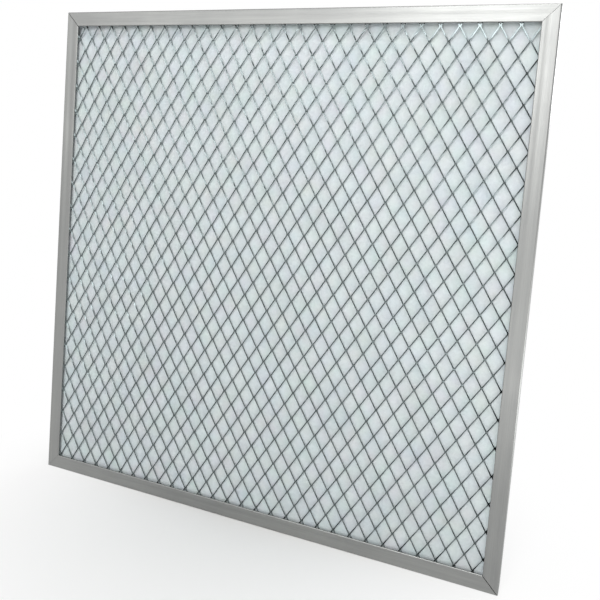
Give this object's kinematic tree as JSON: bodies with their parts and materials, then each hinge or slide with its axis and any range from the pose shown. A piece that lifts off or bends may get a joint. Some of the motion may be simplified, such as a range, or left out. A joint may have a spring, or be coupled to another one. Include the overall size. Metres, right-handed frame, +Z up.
{
  "type": "washable panel pre-filter",
  "caption": "Square flat washable air pre-filter: mitred aluminium channel frame, raised expanded-metal faces domed over a white fibre pad.",
  "frame": {"origin": "middle of the bottom rail's underside, at mid depth", "axes": "+X to the right as seen from the front, +Y from the front face to the rear face, +Z up the panel"},
  "size_m": [0.595, 0.0444, 0.595],
  "materials": {
    "frame_aluminium": "satin mill finish, drawn lengthwise",
    "corner_key_aluminium": "plain mill finish",
    "rivet_aluminium": "smooth, bright",
    "mesh_aluminium": "slit and stretched, dull with bright edges",
    "polyester_fibre": "matt non-woven fleece"
  },
  "bodies": {
    "root": {"bottom_rail": "frame_aluminium", "top_rail": "frame_aluminium", "left_rail": "frame_aluminium", "right_rail": "frame_aluminium", "corner_key_bottom_left": "corner_key_aluminium", "corner_key_bottom_right": "corner_key_aluminium", "corner_key_top_left": "corner_key_aluminium", "corner_key_top_right": "corner_key_aluminium", "rivets_bottom_left": "rivet_aluminium", "rivets_bottom_right": "rivet_aluminium", "rivets_top_left": "rivet_aluminium", "rivets_top_right": "rivet_aluminium", "front_mesh": "mesh_aluminium", "rear_mesh": "mesh_aluminium", "filter_pad": "polyester_fibre"}
  },
  "joints": []
}
